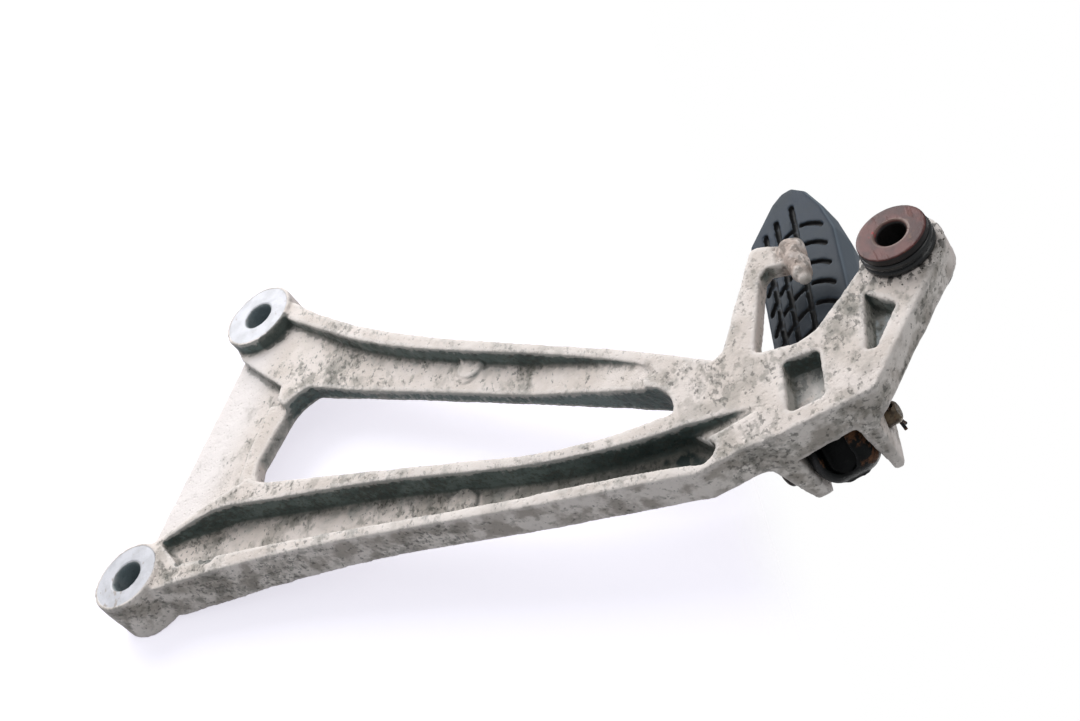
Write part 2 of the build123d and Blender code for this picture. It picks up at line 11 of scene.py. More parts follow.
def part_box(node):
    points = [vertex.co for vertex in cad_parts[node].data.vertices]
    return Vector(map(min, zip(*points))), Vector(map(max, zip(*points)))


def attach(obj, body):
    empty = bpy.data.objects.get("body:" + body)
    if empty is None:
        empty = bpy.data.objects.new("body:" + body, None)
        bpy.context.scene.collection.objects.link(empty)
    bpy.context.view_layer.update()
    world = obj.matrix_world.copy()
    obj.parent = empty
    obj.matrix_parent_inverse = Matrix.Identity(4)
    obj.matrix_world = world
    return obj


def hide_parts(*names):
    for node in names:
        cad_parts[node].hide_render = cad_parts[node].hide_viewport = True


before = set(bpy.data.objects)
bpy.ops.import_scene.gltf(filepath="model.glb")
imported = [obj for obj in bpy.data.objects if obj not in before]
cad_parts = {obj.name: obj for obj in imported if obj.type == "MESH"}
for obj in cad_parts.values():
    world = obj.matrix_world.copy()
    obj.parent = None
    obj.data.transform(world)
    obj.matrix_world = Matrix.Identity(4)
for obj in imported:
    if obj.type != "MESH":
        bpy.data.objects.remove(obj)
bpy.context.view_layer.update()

MM = 0.001
chance = np.random.default_rng(11)

# Places on the casting, in mm: x runs rearward and z up, and the frame bolts lie along y
lower_boss = (0.0, 0.0)
upper_boss = (52.3, 99.8)
exhaust_eye = (272.7, -35.5)
frame_hole_r = 5.4
lower_boss_r = 13.2
upper_boss_r = 14.1
eye_boss_r = 12.4
panel_across = (-0.886, 0.0, 0.464)
lower_arm_across = (0.306, 0.0, 0.952)


# Meshes


def merged_copy(node, name):
    """A new piece with the shape of a CAD node, its loose triangles joined."""
    mesh = bpy.data.meshes.new(name)
    shell = bmesh.new()
    shell.from_mesh(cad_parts[node].data)
    bmesh.ops.remove_doubles(shell, verts=shell.verts, dist=0.005 * MM)
    shell.to_mesh(mesh)
    shell.free()
    piece = bpy.data.objects.new(name, mesh)
    bpy.context.scene.collection.objects.link(piece)
    return piece


def even_skin(piece, size):
    """Gives the piece a skin of even small quads."""
    modifier = piece.modifiers.new("even_skin", "REMESH")
    modifier.mode = "VOXEL"
    modifier.voxel_size = size * MM
    ready = piece.evaluated_get(bpy.context.evaluated_depsgraph_get())
    mesh = bpy.data.meshes.new_from_object(ready)
    piece.modifiers.clear()
    mesh.name = piece.name
    piece.data = mesh


def thin_out(piece, triangles):
    """Takes triangles out where the skin is flattest, down to about this many."""
    now = sum(len(face.vertices) - 2 for face in piece.data.polygons)
    modifier = piece.modifiers.new("thin_out", "DECIMATE")
    modifier.ratio = min(1.0, triangles / now)
    ready = piece.evaluated_get(bpy.context.evaluated_depsgraph_get())
    mesh = bpy.data.meshes.new_from_object(ready)
    piece.modifiers.clear()
    mesh.name = piece.name
    piece.data = mesh


class Skin:
    """The points of a piece in mm, with the ways to soften, roughen and measure them."""

    def __init__(self, piece, node):
        self.piece = piece
        self.mesh = piece.data
        self.low, self.high = (np.array(corner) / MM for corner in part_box(node))
        self.points = self.read(self.mesh.vertices, "co", 3) / MM
        self.pairs = self.read(self.mesh.edges, "vertices", 2).astype(int)
        self.neighbours = np.bincount(self.pairs.ravel(), minlength=len(self.points))[:, None]

    @staticmethod
    def read(items, name, width):
        """One property of all the points or edges as an array."""
        values = np.zeros(len(items) * width, np.float32)
        if name == "vertices":
            values = np.zeros(len(items) * width, np.int32)
        items.foreach_get(name, values)
        return values.reshape(-1, width)

    def normals(self):
        """Which way the skin faces at each point."""
        return self.read(self.mesh.vertices, "normal", 3)

    def spread(self, values, rounds, share=0.5):
        """The values evened out between neighbouring points."""
        first, second = self.pairs.T
        even = values.reshape(len(values), -1).astype(float)
        size = len(even)
        for _ in range(rounds):
            sums = []
            for column in even.T:
                ahead = np.bincount(first, column[second], size)
                behind = np.bincount(second, column[first], size)
                sums.append(ahead + behind)
            even += share * (np.stack(sums, axis=1) / self.neighbours - even)
        return even.reshape(values.shape)

    def soften(self, rounds, held=None):
        """Rounds the edges; where held is 1 the points stay."""
        soft = self.spread(self.points, rounds)
        if held is not None:
            soft += held[:, None] * (self.points - soft)
        self.points = soft
        self.store()

    def store(self):
        """Writes the points back into the mesh, within the box of the CAD node."""
        self.points = np.clip(self.points, self.low, self.high)
        self.mesh.vertices.foreach_set("co", (self.points * MM).astype(np.float32).ravel())
        self.mesh.update()

    def roughen(self, waves, held=None):
        """Adds uneven height along the normals: each wave has a length and a height."""
        lift = np.zeros(len(self.points))
        for length, height in waves:
            lift += height * np.array([noise.noise(Vector(p)) for p in self.points / length])
        if held is not None:
            lift *= 1 - held
        self.points += lift[:, None] * self.normals()
        self.store()

    def press(self, spots):
        """Sinks round spots: each has a middle, a radius and a depth, and a minus depth raises it."""
        normals = self.normals()
        for middle, radius, depth in spots:
            far = np.linalg.norm(self.points - np.array(middle), axis=1) / radius
            self.points -= (depth * np.clip(1 - far**2, 0, 1) ** 2)[:, None] * normals
        self.store()

    def raise_discs(self, discs):
        """Lifts round discs off a floor that faces inboard: each has a middle, a radius and a height."""
        for middle, radius, height in discs:
            off = self.points - np.array(middle)
            far = np.hypot(off[:, 0], off[:, 2])
            on_floor = np.clip(2.2 - np.abs(off[:, 1]), 0, 1)
            self.points[:, 1] -= height * np.clip((radius - far) / 0.7, 0, 1) * on_floor
        self.store()

    def keep(self, name, values):
        """Stores a value for each point, for a material to read."""
        layer = self.mesh.attributes.new(name, "FLOAT", "POINT")
        layer.data.foreach_set("value", values.astype(np.float32))

    def measure_edges(self, rounds, hollow_depth, ridge_height):
        """Stores how hollow and how ridged the skin is at each point, both 0 to 1."""
        rise = ((self.spread(self.points, rounds) - self.points) * self.normals()).sum(axis=1)
        self.keep("hollow", np.clip(rise / hollow_depth, 0, 1))
        self.keep("ridge", np.clip(-rise / ridge_height, 0, 1))

    def measure_shelter(self, reach, rays, rounds):
        """Stores how much of the air around each point is closed off by the piece, 0 to 1."""
        depsgraph = bpy.context.evaluated_depsgraph_get()
        tree = BVHTree.FromObject(self.piece, depsgraph)
        normals = self.normals()
        closed = np.zeros(len(self.points))
        for _ in range(rays):
            sides = chance.normal(size=self.points.shape)
            ways = normals + 0.95 * sides / np.linalg.norm(sides, axis=1)[:, None]
            starts = self.points * MM + normals * 0.3 * MM
            for index, (start, way) in enumerate(zip(starts, ways)):
                if tree.ray_cast(Vector(start), Vector(way), reach * MM)[0] is not None:
                    closed[index] += 1
        self.keep("shelter", self.spread(closed / rays, rounds))


def smooth(piece):
    """Shades the piece as one smooth skin."""
    piece.data.polygons.foreach_set("use_smooth", [True] * len(piece.data.polygons))
    piece.data.update()


# Node trees


def colour(red, green, blue):
    """A colour from its 0 to 255 values."""
    parts = [v / 255 for v in (red, green, blue)]
    return tuple(v / 12.92 if v <= 0.04045 else ((v + 0.055) / 1.055) ** 2.4 for v in parts) + (1.0,)


def put(tree, kind, inputs=(), **settings):
    """Adds a node; an input is set to a value or joined to another node's output."""
    node = tree.nodes.new(kind)
    for name, value in settings.items():
        setattr(node, name, value)
    for name, value in dict(inputs).items():
        if isinstance(value, bpy.types.NodeSocket):
            tree.links.new(value, node.inputs[name])
        else:
            node.inputs[name].default_value = value
    return node


def calc(tree, operation, *values, clamp=False):
    """The result of a sum on one to three values."""
    node = put(tree, "ShaderNodeMath", enumerate(values), operation=operation, use_clamp=clamp)
    return node.outputs[0]


def fade(tree, value, low, high):
    """0 at low, 1 at high, with a soft start and end."""
    inputs = {"Value": value, "From Min": low, "From Max": high}
    return put(tree, "ShaderNodeMapRange", inputs, interpolation_type="SMOOTHSTEP").outputs["Result"]


def tint(tree, mask, first, second):
    """The first colour where the mask is 0 and the second where it is 1."""
    return put(tree, "ShaderNodeMix", {0: mask, 6: first, 7: second}, data_type="RGBA").outputs[2]


def cloud(tree, place, scale, detail=3.0, rough=0.5):
    """Soft random patches, this many of them to the mm."""
    inputs = {"Vector": place, "Scale": scale, "Detail": detail, "Roughness": rough}
    return put(tree, "ShaderNodeTexNoise", inputs).outputs[0]


def mottle(tree, place, size, detail=3.0, rough=0.55):
    """Soft random patches about this many mm apart."""
    return cloud(tree, place, 1 / size, detail, rough)


def vector(tree, operation, *values):
    """The result of a vector sum."""
    node = put(tree, "ShaderNodeVectorMath", operation=operation)
    for index, value in enumerate(values):
        slot = "Scale" if operation == "SCALE" and index == 1 else index
        if isinstance(value, bpy.types.NodeSocket):
            tree.links.new(value, node.inputs[slot])
        else:
            node.inputs[slot].default_value = value
    return node.outputs["Value" if operation in ("DOT_PRODUCT", "DISTANCE", "LENGTH") else "Vector"]


def stored(tree, name):
    """A value that was stored on the piece's points."""
    return put(tree, "ShaderNodeAttribute", attribute_name=name).outputs["Fac"]


def split(tree, value):
    """The x, y and z of a vector."""
    return put(tree, "ShaderNodeSeparateXYZ", {0: value}).outputs


def new_group(name, inputs, outputs):
    """An empty shader node group, with its input and output sockets."""
    tree = bpy.data.node_groups.new(name, "ShaderNodeTree")
    for socket, kind, value in inputs:
        made = tree.interface.new_socket(name=socket, in_out="INPUT", socket_type="NodeSocket" + kind)
        if value is not None:
            made.default_value = value
    for socket, kind in outputs:
        tree.interface.new_socket(name=socket, in_out="OUTPUT", socket_type="NodeSocket" + kind)
    return tree, tree.nodes.new("NodeGroupInput").outputs, tree.nodes.new("NodeGroupOutput").inputs


def place_group(tree, group, **inputs):
    """Puts a node group into a material and returns its outputs."""
    named = {name.replace("_", " "): value for name, value in inputs.items()}
    return put(tree, "ShaderNodeGroup", named_inputs(group, named), node_tree=group).outputs


def named_inputs(group, values):
    """The values in the order of the group's own input sockets."""
    names = [s.name for s in group.interface.items_tree if s.in_out == "INPUT"]
    return {names.index(name): value for name, value in values.items()}


def make_flecks():
    """Ragged flecks: fine mottling cut off at a level; a larger amount leaves more of it."""
    tree, given, result = new_group(
        "flecks",
        (
            ("Place", "Vector", None),
            ("Size", "Float", 2.0),
            ("Amount", "Float", 0.5),
            ("Softness", "Float", 0.08),
        ),
        (("Mask", "Float"),),
    )
    scale = calc(tree, "DIVIDE", 1.0, given["Size"])
    drawn = vector(tree, "MULTIPLY", given["Place"], (1.0, 1.0, 0.68))
    mottled = cloud(tree, drawn, scale, 3.0, 0.58)
    cut = calc(tree, "MULTIPLY_ADD", given["Amount"], -0.34, 0.72)
    full = calc(tree, "ADD", cut, given["Softness"])
    tree.links.new(fade(tree, mottled, cut, full), result["Mask"])
    return tree


def make_grime():
    """A mask for dirt, wear and painted shade, which gathers where a stored value is high, with a ragged
    edge.
    """
    tree, given, result = new_group(
        "grime_and_shade",
        (
            ("Place", "Vector", None),
            ("Depth", "Float", 0.0),
            ("Size", "Float", 2.0),
            ("Amount", "Float", 1.0),
        ),
        (("Mask", "Float"),),
    )
    scale = calc(tree, "DIVIDE", 1.0, given["Size"])
    ragged = cloud(tree, given["Place"], scale, 4.0, 0.62)
    push = calc(tree, "MULTIPLY_ADD", ragged, 1.1, -0.55)
    level = calc(tree, "MULTIPLY_ADD", given["Depth"], given["Amount"], push)
    tree.links.new(fade(tree, level, 0.22, 0.62), result["Mask"])
    return tree


def make_grain():
    """Height of a grainy surface: fine grain, a slower roll and small pits."""
    tree, given, result = new_group(
        "grain",
        (("Place", "Vector", None), ("Size", "Float", 0.8), ("Pits", "Float", 0.5)),
        (("Height", "Float"),),
    )
    scale = calc(tree, "DIVIDE", 1.0, given["Size"])
    fine = cloud(tree, given["Place"], scale, 5.0, 0.6)
    slow = cloud(tree, given["Place"], calc(tree, "MULTIPLY", scale, 0.22), 2.0)
    pit_scale = calc(tree, "MULTIPLY", scale, 0.6)
    pits = put(tree, "ShaderNodeTexVoronoi", {"Vector": given["Place"], "Scale": pit_scale})
    holes = fade(tree, pits.outputs["Distance"], 0.32, 0.08)
    height = calc(tree, "MULTIPLY_ADD", slow, 0.7, fine)
    sunk = calc(tree, "MULTIPLY", holes, given["Pits"])
    tree.links.new(calc(tree, "SUBTRACT", height, sunk), result["Height"])
    return tree


def make_rust():
    """Rust in three browns, with its own height."""
    tree, given, result = new_group(
        "rust",
        (("Place", "Vector", None), ("Size", "Float", 2.0)),
        (("Color", "Color"), ("Height", "Float")),
    )
    scale = calc(tree, "DIVIDE", 1.0, given["Size"])
    broad = cloud(tree, given["Place"], scale, 4.0, 0.6)
    crust = cloud(tree, given["Place"], calc(tree, "MULTIPLY", scale, 4.0), 3.0, 0.7)
    brown = tint(tree, fade(tree, broad, 0.38, 0.6), colour(58, 38, 30), colour(116, 80, 56))
    bright = tint(tree, fade(tree, crust, 0.55, 0.72), brown, colour(136, 98, 64))
    tree.links.new(bright, result["Color"])
    tree.links.new(crust, result["Height"])
    return tree


flecks = make_flecks()
grime_and_shade = make_grime()
grain = make_grain()
rust = make_rust()


class Finish:
    """A material under way: its tree, its shader and what is known of the place on the piece."""

    def __init__(self, name):
        self.material = bpy.data.materials.new(name)
        self.material.use_nodes = True
        self.tree = self.material.node_tree
        self.tree.nodes.clear()
        self.shader = self.tree.nodes.new("ShaderNodeBsdfPrincipled")
        output = self.tree.nodes.new("ShaderNodeOutputMaterial")
        self.tree.links.new(self.shader.outputs[0], output.inputs["Surface"])
        where = self.tree.nodes.new("ShaderNodeTexCoord")
        self.place = vector(self.tree, "SCALE", where.outputs["Object"], 1 / MM)
        self.facing = split(self.tree, where.outputs["Normal"])

    def feed(self, socket, value):
        """Joins a changing value to the shader, or sets a plain one."""
        if isinstance(value, bpy.types.NodeSocket):
            self.tree.links.new(value, self.shader.inputs[socket])
        else:
            self.shader.inputs[socket].default_value = value

    def raise_by(self, height, depth):
        """Bumps the surface by a height that runs from 0 to 1, worth this many mm."""
        bump = put(self.tree, "ShaderNodeBump", {"Height": height, "Distance": depth * MM, "Strength": 1.0})
        self.tree.links.new(bump.outputs["Normal"], self.shader.inputs["Normal"])


def near(tree, place, middle, inner, outer):
    """1 within the inner radius of a line across the casting, 0 past the outer one."""
    flat = vector(tree, "MULTIPLY", place, (1.0, 0.0, 1.0))
    far = vector(tree, "DISTANCE", flat, (middle[0], 0.0, middle[1]))
    return fade(tree, far, outer, inner)


def fleck(tree, place, size, amount, softness=0.08):
    """The mask of ragged flecks of this size and amount."""
    return place_group(tree, flecks, Place=place, Size=size, Amount=amount, Softness=softness)["Mask"]


def gather(tree, place, depth, size, amount):
    """The mask that gathers where the depth is high, used for dirt, for wear and for painted shade."""
    return place_group(tree, grime_and_shade, Place=place, Depth=depth, Size=size, Amount=amount)["Mask"]


def grainy(tree, place, size, pits):
    """The height of a grainy surface."""
    return place_group(tree, grain, Place=place, Size=size, Pits=pits)["Height"]


def times(tree, *values):
    """The values multiplied together."""
    total = values[0]
    for value in values[1:]:
        total = calc(tree, "MULTIPLY", total, value)
    return total


def cast_finish():
    """Pale oxidised casting: flecked all over, grey-green painted shade on its down-facing inner walls,
    machined at the bosses.
    """
    finish = Finish("oxidised_casting")
    tree, place = finish.tree, finish.place
    across_x, across_y, across_z = split(tree, place)
    hollow, ridge, shelter = (stored(tree, name) for name in ("hollow", "ridge", "shelter"))
    face_up = finish.facing[2]

    # the panel between the bosses is nearly clean towards its front edge
    across = vector(tree, "DOT_PRODUCT", place, panel_across)
    clean = times(tree, fade(tree, across, -22, -2), fade(tree, across_z, 12, 28))
    away = calc(tree, "SUBTRACT", 1.0, near(tree, place, upper_boss, upper_boss_r, upper_boss_r + 5))
    clean = times(tree, clean, away)

    shade = fade(tree, mottle(tree, place, 14), 0.36, 0.64)
    base = tint(tree, shade, colour(238, 228, 222), colour(222, 211, 203))
    base = tint(tree, clean, base, colour(246, 239, 237))

    # walls that face down get painted shade: brown-grey outside, dark grey-green inside the frame and in the
    # channels
    under = fade(tree, times(tree, face_up, -1.0), 0.25, 0.8)
    above = fade(tree, vector(tree, "DOT_PRODUCT", place, lower_arm_across), -5.5, -2.5)
    above = times(tree, above, fade(tree, across_x, 222, 212))
    inside = calc(tree, "MAXIMUM", above, fade(tree, shelter, 0.1, 0.4))
    blotches = fade(tree, mottle(tree, place, 7.0, 4.0), 0.44, 0.62)
    outer = tint(tree, blotches, colour(238, 232, 226), colour(176, 169, 161))
    inner = tint(tree, fleck(tree, place, 7.0, 0.52, 0.24), colour(90, 105, 103), colour(50, 63, 62))
    base = tint(tree, under, base, tint(tree, inside, outer, inner))

    # grey-green film and painted shade in sheltered corners, and painted shade in the dark right end of the
    # channel
    film = gather(tree, place, shelter, 7.0, 1.1)
    base = tint(tree, times(tree, film, 0.5), base, colour(120, 133, 130))
    far_end_shade = times(tree, fade(tree, across_x, 145, 190), fade(tree, across_x, 216, 208))
    far_end_shade = times(tree, far_end_shade, fade(tree, shelter, 0.08, 0.35), fade(tree, across_y, 1.5, 4.5))
    base = tint(tree, far_end_shade, base, colour(38, 52, 50))

    # haze, flecks and pinpoints, gathered in regions
    regions = fade(tree, mottle(tree, place, 18, 2.0), 0.36, 0.64)
    amount = calc(tree, "MULTIPLY_ADD", regions, 0.3, 0.3)
    amount = calc(tree, "MULTIPLY_ADD", shelter, 0.2, amount)
    amount = calc(tree, "SUBTRACT", amount, times(tree, clean, 0.3))
    amount = calc(tree, "MULTIPLY_ADD", under, 0.08, amount)
    for middle, radius, strength in dirt_patches:
        dirty = times(tree, near(tree, place, middle, radius * 0.4, radius), strength)
        amount = calc(tree, "ADD", amount, dirty)
    haze = fleck(tree, place, 9.0, calc(tree, "ADD", amount, 0.16), 0.14)
    spots = fleck(tree, place, 5.0, amount, 0.16)
    small = fleck(tree, place, 2.6, amount, 0.14)
    points = fleck(tree, place, 1.4, calc(tree, "SUBTRACT", amount, 0.12), 0.07)
    # flecks and haze are painted darker where the walls have painted shade
    shaded_wall = times(tree, under, inside)
    fleck_colour = tint(tree, shaded_wall, colour(118, 116, 107), colour(54, 70, 68))
    haze_colour = tint(tree, shaded_wall, colour(164, 157, 148), colour(84, 100, 97))
    base = tint(tree, times(tree, haze, 0.5), base, haze_colour)
    base = tint(tree, times(tree, spots, 0.6), base, fleck_colour)
    base = tint(tree, times(tree, small, 0.5), base, fleck_colour)
    base = tint(tree, times(tree, points, 0.6), base, colour(66, 68, 62))
    smear = times(tree, fade(tree, across, -4, -14), fade(tree, across_z, 20, 34))
    smear = times(tree, smear, fade(tree, across_y, 7.0, 8.6), fleck(tree, place, 9.0, 0.72, 0.26))
    base = tint(tree, times(tree, smear, 0.5), base, colour(158, 152, 146))

    dirt = gather(tree, place, hollow, 2.4, 0.85)
    base = tint(tree, times(tree, dirt, 0.6), base, colour(80, 86, 81))

    # bluish oxide on the floors of the two pockets
    floor = times(tree, fade(tree, finish.facing[1], -0.7, -0.95), fade(tree, across_y, 4.5, 6.0))
    for middle, radius, strength in pocket_floors:
        pale = times(tree, near(tree, place, middle, radius * 0.6, radius), floor)
        pale = times(tree, pale, fade(tree, mottle(tree, place, 4.0, 4.0), 0.38, 0.56))
        base = tint(tree, times(tree, pale, strength), base, colour(206, 214, 217))

    # painted shadow against one side of the edges of the mould's discs
    flat = vector(tree, "MULTIPLY", place, (1.0, 0.0, 1.0))
    inboard = fade(tree, finish.facing[1], 0.0, -0.4)
    for middle, radius, ways in mark_shadows:
        off = vector(tree, "SUBTRACT", flat, (middle[0], 0.0, middle[1]))
        far = vector(tree, "LENGTH", off)
        rim = times(tree, fade(tree, far, radius - 0.9, radius), fade(tree, far, radius + 1.2, radius + 0.3))
        side = fade(tree, vector(tree, "DOT_PRODUCT", off, ways), -2.0, 4.0)
        rim = times(tree, rim, side, fade(tree, across_y, 5.0, 6.0), inboard)
        base = tint(tree, times(tree, rim, 0.75), base, colour(72, 78, 74))

    # ridges are rubbed pale
    rubbed = gather(tree, place, ridge, 1.6, 0.85)
    base = tint(tree, times(tree, rubbed, 0.4), base, colour(240, 234, 230))

    # brown at the hook's stub
    stub = times(tree, near(tree, place, stub_middle, 8.0, 13.0), fade(tree, across_x, 237.0, 240.0))
    brown = times(tree, stub, fade(tree, mottle(tree, place, 5.0, 4.0), 0.34, 0.58))
    base = tint(tree, times(tree, brown, 0.6), base, colour(158, 132, 116))
    crust = times(tree, stub, fleck(tree, place, 2.6, 0.74, 0.08))
    base = tint(tree, times(tree, crust, 0.55), base, colour(92, 84, 76))

    # dark patches beside the upper boss, along the step and in the pits, and black deposit round the
    # grommet's foot
    black = None
    for middle, radius, strength in black_spots:
        far = vector(tree, "DISTANCE", place, middle)
        spot = times(tree, fade(tree, far, radius, radius * 0.45), strength)
        black = spot if black is None else calc(tree, "MAXIMUM", black, spot)
    black = gather(tree, place, black, 1.8, 1.15)
    base = tint(tree, times(tree, black, 0.75), base, colour(66, 75, 71))
    ring = near(tree, place, exhaust_eye, eye_boss_r - 1.2, eye_boss_r + 1.8)
    ring = times(tree, ring, fade(tree, across_y, 3.0, 1.5), fleck(tree, place, 2.0, 0.66, 0.08))
    base = tint(tree, times(tree, ring, 0.85), base, colour(46, 46, 42))

    # machined boss faces, with a few brown specks
    faced = None
    for middle, radius in ((lower_boss, lower_boss_r), (upper_boss, upper_boss_r)):
        disc = near(tree, place, middle, radius - 1.4, radius - 0.8)
        faced = disc if faced is None else calc(tree, "MAXIMUM", faced, disc)
    faced = times(tree, faced, fade(tree, across_y, 0.8, 0.3), fade(tree, finish.facing[1], -0.7, -0.9))
    shade = fade(tree, mottle(tree, place, 7.0, 4.0), 0.4, 0.62)
    metal = tint(tree, shade, colour(204, 205, 212), colour(188, 189, 195))
    stained = near(tree, place, stained_edge, 4.0, 11.0)
    specks = fleck(tree, place, 2.2, calc(tree, "MULTIPLY_ADD", stained, 0.3, 0.24))
    metal = tint(tree, times(tree, specks, 0.7), metal, colour(150, 136, 126))
    base = tint(tree, faced, base, metal)
    for middle in (lower_boss, upper_boss):
        bore = near(tree, place, middle, frame_hole_r + 0.3, frame_hole_r + 0.8)
        base = tint(tree, times(tree, bore, 0.8), base, colour(118, 132, 138))

    finish.feed("Base Color", base)
    dull = calc(tree, "MULTIPLY_ADD", dirt, 0.2, 0.66)
    finish.feed("Roughness", calc(tree, "MULTIPLY_ADD", faced, -0.2, dull))
    finish.feed("Metallic", times(tree, faced, 0.12))
    height = calc(tree, "SUBTRACT", grainy(tree, place, 1.2, 0.6), times(tree, small, 0.5))
    height = times(tree, height, calc(tree, "MULTIPLY_ADD", faced, -0.85, 1.0))
    finish.raise_by(height, 0.26)
    return finish.material


def tread_finish():
    """Worn slate-grey rubber: painted light makes it paler at the tip and on the rear bevel, and painted
    shade makes it nearly black in its grooves.
    """
    finish = Finish("tread_rubber")
    tree, place = finish.tree, finish.place
    shelter = stored(tree, "shelter")
    # painted light: paler towards the tip, darker low down
    high = fade(tree, split(tree, place)[2], -25, 20)
    base = tint(tree, high, colour(28, 40, 52), colour(29, 45, 62))
    base = tint(tree, fade(tree, mottle(tree, place, 9), 0.4, 0.66), base, colour(33, 46, 58))
    # painted sheen on the rear bevel, chosen by which way the surface faces
    bevel = fade(tree, finish.facing[0], 0.25, 0.6)
    base = tint(tree, times(tree, bevel, 0.8), base, colour(104, 115, 126))
    scuffs = fleck(tree, place, 1.8, 0.45, 0.2)
    base = tint(tree, times(tree, scuffs, 0.14), base, colour(98, 108, 116))
    # painted shade, nearly black, in the sheltered grooves
    base = tint(tree, fade(tree, shelter, 0.08, 0.24), base, colour(3, 5, 8))
    finish.feed("Base Color", base)
    finish.feed("Roughness", calc(tree, "MULTIPLY_ADD", scuffs, 0.15, 0.6))
    finish.feed("Specular IOR Level", 0.35)
    finish.raise_by(grainy(tree, place, 0.5, 0.2), 0.04)
    return finish.material


def peg_iron_finish():
    """Black paint over iron, gone to brown rust on the rear rim, with painted shade nearly black inside."""
    finish = Finish("peg_iron")
    tree, place = finish.tree, finish.place
    ridge, shelter = (stored(tree, name) for name in ("ridge", "shelter"))
    base = tint(tree, fade(tree, mottle(tree, place, 5), 0.4, 0.6), colour(6, 8, 9), colour(15, 18, 18))
    rusty = place_group(tree, rust, Place=place, Size=2.2)
    rear = fade(tree, split(tree, place)[0], 237.0, 241.5)
    worn = calc(tree, "MULTIPLY_ADD", rear, 0.55, calc(tree, "MULTIPLY_ADD", ridge, 0.3, 0.2))
    worn = fleck(tree, place, 4.0, worn, 0.1)
    base = tint(tree, times(tree, worn, 0.8), base, rusty["Color"])
    dust = fleck(tree, place, 1.5, 0.34, 0.12)
    base = tint(tree, times(tree, dust, 0.06), base, colour(92, 90, 84))
    # painted shade inside the knuckle's cavity
    base = tint(tree, fade(tree, shelter, 0.15, 0.4), base, colour(3, 4, 5))
    finish.feed("Base Color", base)
    finish.feed("Roughness", calc(tree, "MULTIPLY_ADD", worn, 0.3, 0.42))
    finish.feed("Specular IOR Level", 0.15)
    finish.raise_by(calc(tree, "ADD", grainy(tree, place, 0.6, 0.4), rusty["Height"]), 0.06)
    return finish.material


def collar_finish():
    """Brown-red coated steel, finely scratched: paler round the hole, with painted shade nearly black at its
    side and inside.
    """
    finish = Finish("collar_steel")
    tree, place = finish.tree, finish.place
    flat = vector(tree, "MULTIPLY", place, (1.0, 0.0, 1.0))
    radius = vector(tree, "DISTANCE", flat, (exhaust_eye[0], 0.0, exhaust_eye[1]))
    base = tint(tree, fade(tree, mottle(tree, place, 6), 0.38, 0.62), colour(88, 44, 40), colour(62, 30, 29))
    drawn = vector(tree, "MULTIPLY", place, (1.0, 1.0, 0.16))
    scratched = fade(tree, mottle(tree, drawn, 1.2, 4.0), 0.56, 0.7)
    base = tint(tree, times(tree, scratched, 0.3), base, colour(140, 104, 96))
    rusty = place_group(tree, rust, Place=place, Size=3.0)
    base = tint(tree, times(tree, fleck(tree, place, 2.4, 0.3, 0.1), 0.5), base, rusty["Color"])
    ring = times(tree, fade(tree, radius, 5.7, 5.3), fade(tree, radius, 4.6, 4.9))
    base = tint(tree, times(tree, ring, 0.55), base, colour(132, 112, 104))
    trace = times(tree, near(tree, place, red_trace, 0.6, 2.0), fleck(tree, place, 2.0, 0.6, 0.1))
    base = tint(tree, times(tree, trace, 0.7), base, colour(158, 36, 40))
    # painted shade, nearly black, on the side wall and inside the hole
    side = calc(tree, "MAXIMUM", fade(tree, finish.facing[1], -0.75, -0.4), fade(tree, radius, 4.7, 4.4))
    base = tint(tree, side, base, colour(34, 31, 31))
    finish.feed("Base Color", base)
    finish.feed("Roughness", calc(tree, "MULTIPLY_ADD", scratched, 0.2, 0.36))
    finish.feed("Metallic", 0.15)
    finish.feed("Specular IOR Level", 0.35)
    finish.raise_by(calc(tree, "ADD", rusty["Height"], scratched), 0.03)
    return finish.material


def grommet_finish():
    """Black rubber, still glossy, with a little dust."""
    finish = Finish("grommet_rubber")
    tree, place = finish.tree, finish.place
    dust = fleck(tree, place, 1.8, 0.34, 0.12)
    base = tint(tree, times(tree, dust, 0.3), colour(29, 31, 32), colour(100, 99, 95))
    finish.feed("Base Color", base)
    finish.feed("Roughness", calc(tree, "MULTIPLY_ADD", mottle(tree, place, 3.0), 0.3, 0.14))
    finish.raise_by(mottle(tree, place, 1.0, 4.0), 0.03)
    return finish.material


def plated_finish():
    """The pin's dull plating, gone brown-grey at the tail and dark at the head."""
    finish = Finish("plated_steel")
    tree, place = finish.tree, finish.place
    rusty = place_group(tree, rust, Place=place, Size=1.6)
    shade = fade(tree, mottle(tree, place, 2.0), 0.4, 0.6)
    base = tint(tree, shade, colour(112, 98, 78), colour(74, 64, 52))
    head = fade(tree, split(tree, place)[0], 226.0, 221.0)
    base = tint(tree, head, base, colour(40, 36, 32))
    spots = fleck(tree, place, 1.8, 0.45, 0.12)
    base = tint(tree, times(tree, spots, 0.7), base, rusty["Color"])
    finish.feed("Base Color", base)
    finish.feed("Roughness", calc(tree, "MULTIPLY_ADD", spots, 0.3, 0.42))
    finish.feed("Metallic", calc(tree, "MULTIPLY_ADD", spots, -0.3, 0.5))
    finish.raise_by(calc(tree, "ADD", rusty["Height"], mottle(tree, place, 0.5)), 0.04)
    return finish.material


def dark_steel_finish():
    """Blackened wire."""
    finish = Finish("dark_steel")
    tree, place = finish.tree, finish.place
    rusty = place_group(tree, rust, Place=place, Size=1.0)
    shade = fade(tree, mottle(tree, place, 1.2), 0.48, 0.66)
    base = tint(tree, shade, colour(30, 30, 32), rusty["Color"])
    finish.feed("Base Color", base)
    finish.feed("Roughness", calc(tree, "MULTIPLY_ADD", mottle(tree, place, 0.8), 0.3, 0.3))
    finish.feed("Metallic", 0.6)
    finish.raise_by(rusty["Height"], 0.03)
    return finish.material


